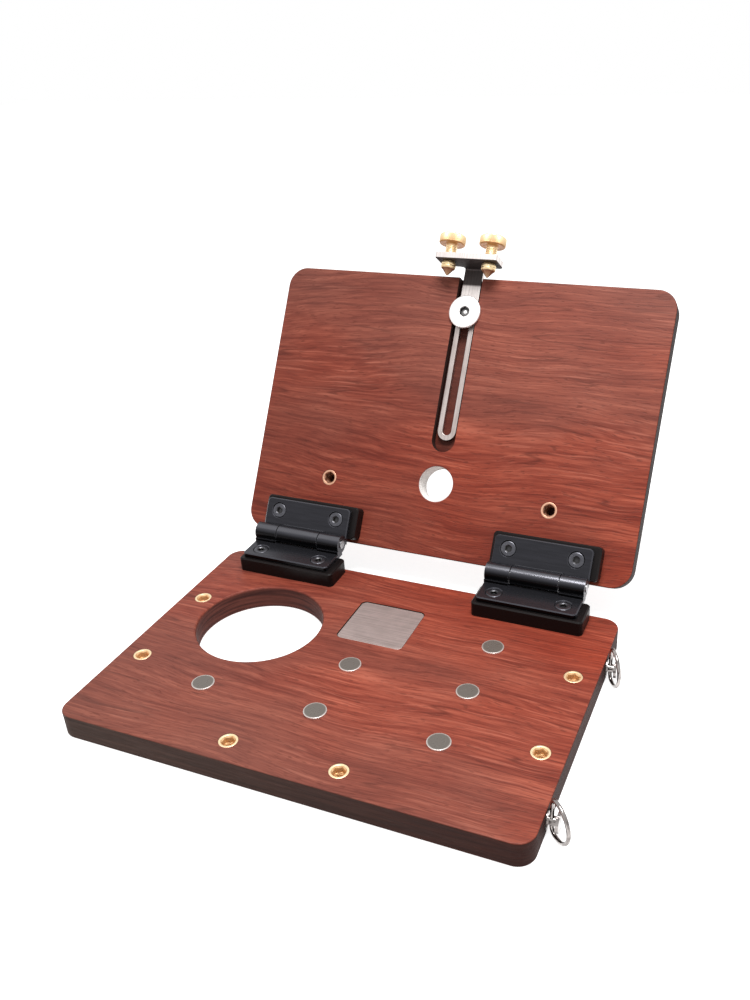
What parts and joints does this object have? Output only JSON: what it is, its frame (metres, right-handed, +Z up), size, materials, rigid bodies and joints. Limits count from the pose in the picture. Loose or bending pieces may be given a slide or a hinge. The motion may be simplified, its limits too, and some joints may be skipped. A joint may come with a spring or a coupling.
{
  "type": "folding work board",
  "caption": "Two wooden boards on friction hinges, with a cup hole, magnets, threaded inserts, strap rings and a sliding clamp on the upper board.",
  "frame": {"origin": "middle of the lower board's underside", "axes": "+X to the right as seen from the front, +Y from the front edge to the hinges, +Z up"},
  "size_m": [0.2629, 0.2926, 0.1954],
  "materials": {
    "wood": "oiled reddish brown hardwood",
    "brass": "bright turned brass",
    "tip_brass": "darker brass",
    "black_metal": "satin black",
    "black_block": "matt black",
    "black_screw": "blackened steel",
    "pin_steel": "ground steel",
    "magnet": "dull nickel",
    "plate": "satin steel",
    "slider_steel": "brushed steel",
    "lock_steel": "bright turned steel",
    "ring_chrome": "dark chrome",
    "sleeve": "plain bearing plastic"
  },
  "bodies": {
    "base": {"lower_board": "wood", "side_inserts": "brass", "front_inserts": "brass", "tray_magnets": "magnet", "blank_plate": "plate", "hinge_base_block_left": "black_block", "hinge_base_block_right": "black_block", "hinge_lower_leaf_left": "black_metal", "hinge_lower_leaf_right": "black_metal", "hinge_lower_screws_left": "black_screw", "hinge_lower_screws_right": "black_screw", "hinge_pin_left": "pin_steel", "hinge_pin_right": "pin_steel", "strap_stud_front": "ring_chrome", "strap_stud_rear": "ring_chrome"},
    "lid": {"upper_board": "wood", "upper_inserts": "brass", "lock_nut": "brass", "hinge_lid_block_left": "black_block", "hinge_lid_block_right": "black_block", "hinge_upper_leaf_left": "black_metal", "hinge_upper_leaf_right": "black_metal", "hinge_upper_screws_left": "black_screw", "hinge_upper_screws_right": "black_screw", "hinge_friction_sleeve_left": "sleeve", "hinge_friction_sleeve_right": "sleeve"},
    "slider": {"slider": "slider_steel"},
    "lock_screw": {"lock_screw": "lock_steel"},
    "left_tip": {"thumbscrew_tip_left": "tip_brass"},
    "right_tip": {"thumbscrew_tip_right": "tip_brass"},
    "left_thumbscrew": {"thumbscrew_left": "brass"},
    "right_thumbscrew": {"thumbscrew_right": "brass"},
    "front_ring": {"strap_ring_front": "ring_chrome"},
    "rear_ring": {"strap_ring_rear": "ring_chrome"}
  },
  "joints": [
    {"name": "lid_hinge", "type": "hinge", "parent": "base", "child": "lid", "pos_m": [0, 0.088, 0.0299], "axis": [-1, 0, 0], "range_deg": [-122.6, 57.4]},
    {"name": "clamp_slide", "type": "slide", "parent": "lid", "child": "slider", "axis": [0, 0.5388, 0.8425], "range_m": [-0.006, 0.072]},
    {"name": "lock_screw_turn", "type": "hinge", "parent": "lid", "child": "lock_screw", "pos_m": [0, 0.18356, 0.14981], "axis": [0, -0.8425, 0.5388], "range_deg": [0, 360]},
    {"name": "left_tip_travel", "type": "slide", "parent": "slider", "child": "left_tip", "axis": [0, -0.5388, -0.8425], "range_m": [0, 0.0065]},
    {"name": "left_thumbscrew_turn", "type": "hinge", "parent": "left_tip", "child": "left_thumbscrew", "pos_m": [-0.0128, 0.18807, 0.17245], "axis": [0, -0.5388, -0.8425], "range_deg": [0, 2340]},
    {"name": "right_tip_travel", "type": "slide", "parent": "slider", "child": "right_tip", "axis": [0, -0.5388, -0.8425], "range_m": [0, 0.0065]},
    {"name": "right_thumbscrew_turn", "type": "hinge", "parent": "right_tip", "child": "right_thumbscrew", "pos_m": [0.0128, 0.18807, 0.17245], "axis": [0, -0.5388, -0.8425], "range_deg": [0, 2340]},
    {"name": "front_ring_swing", "type": "hinge", "parent": "base", "child": "front_ring", "pos_m": [0.127, -0.062, 0.0111], "axis": [0, 0, 1], "range_deg": [-45, 135]},
    {"name": "rear_ring_swing", "type": "hinge", "parent": "base", "child": "rear_ring", "pos_m": [0.127, 0.051, 0.0111], "axis": [0, 0, 1], "range_deg": [-30, 150]}
  ],
  "couplings": [
    {"joint": "left_tip_travel", "follows": "left_thumbscrew_turn", "m_per_rad": 0.00015915},
    {"joint": "right_tip_travel", "follows": "right_thumbscrew_turn", "m_per_rad": 0.00015915}
  ]
}
